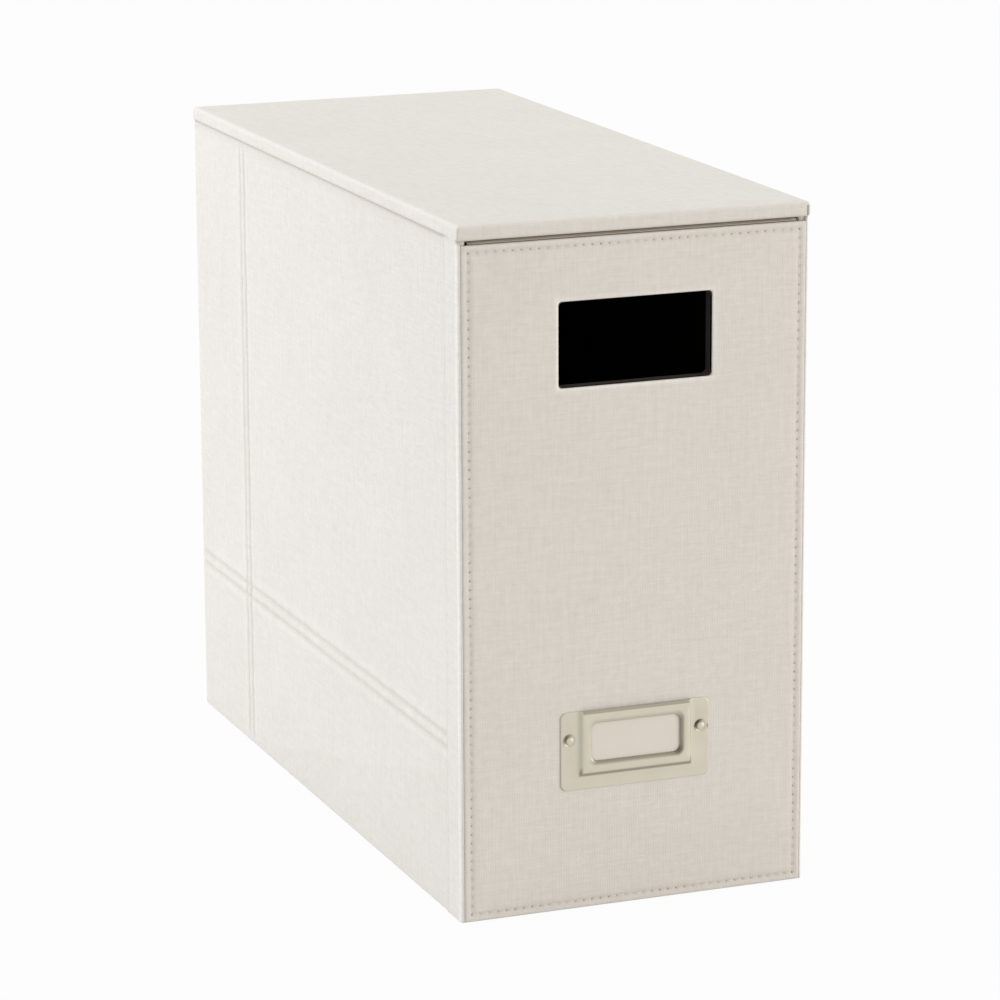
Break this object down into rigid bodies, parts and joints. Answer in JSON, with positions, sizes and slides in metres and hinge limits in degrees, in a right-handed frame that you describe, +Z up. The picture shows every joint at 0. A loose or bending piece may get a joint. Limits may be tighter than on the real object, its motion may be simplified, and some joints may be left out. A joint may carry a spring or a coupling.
{
  "type": "file box with drawer",
  "caption": "Tall linen-covered board case with a thick top slab and a full-height pull-out file drawer; its stitched front has a hand hole and a metal label holder.",
  "frame": {"origin": "centre of the footprint of the closed box, on the table", "axes": "+Z up, +X to the right seen from the front, +Y towards the back; the drawer pulls out along -Y"},
  "size_m": [0.1612, 0.3648, 0.3026],
  "materials": {
    "linen": "matt cream linen with a fine plain weave and slubs",
    "greyboard": "raw greyboard",
    "lining_paper": "matt dark lining paper",
    "holder_paint": "satin cream paint on pressed sheet steel",
    "card": "smooth uncoated card"
  },
  "bodies": {
    "case": {"case_left_board": "greyboard", "case_left_cover": "linen", "case_left_lining": "lining_paper", "case_right_board": "greyboard", "case_right_cover": "linen", "case_right_lining": "lining_paper", "case_rear_board": "greyboard", "case_rear_cover": "linen", "case_rear_lining": "lining_paper", "case_base_board": "greyboard", "case_base_cover": "linen", "case_base_lining": "lining_paper", "case_left_binding": "linen", "case_right_binding": "linen", "top_board": "greyboard", "top_cover": "linen", "top_lining": "lining_paper"},
    "drawer": {"front_panel_board": "greyboard", "front_panel_cover": "linen", "drawer_front_board": "greyboard", "drawer_front_lining": "lining_paper", "hand_hole_lining": "lining_paper", "drawer_wrap": "lining_paper", "drawer_left_board": "greyboard", "drawer_left_lining": "lining_paper", "drawer_right_board": "greyboard", "drawer_right_lining": "lining_paper", "drawer_rear_board": "greyboard", "drawer_rear_lining": "lining_paper", "drawer_base_board": "greyboard", "drawer_base_lining": "lining_paper", "label_holder": "holder_paint", "label_pins": "holder_paint"},
    "label_card": {"label_card": "card"}
  },
  "joints": [
    {"name": "drawer_slide", "type": "slide", "parent": "case", "child": "drawer", "axis": [0, -1, 0], "range_m": [0, 0.3]},
    {"name": "label_card_slide", "type": "slide", "parent": "drawer", "child": "label_card", "axis": [0, 0, 1], "range_m": [0, 0.024]}
  ]
}
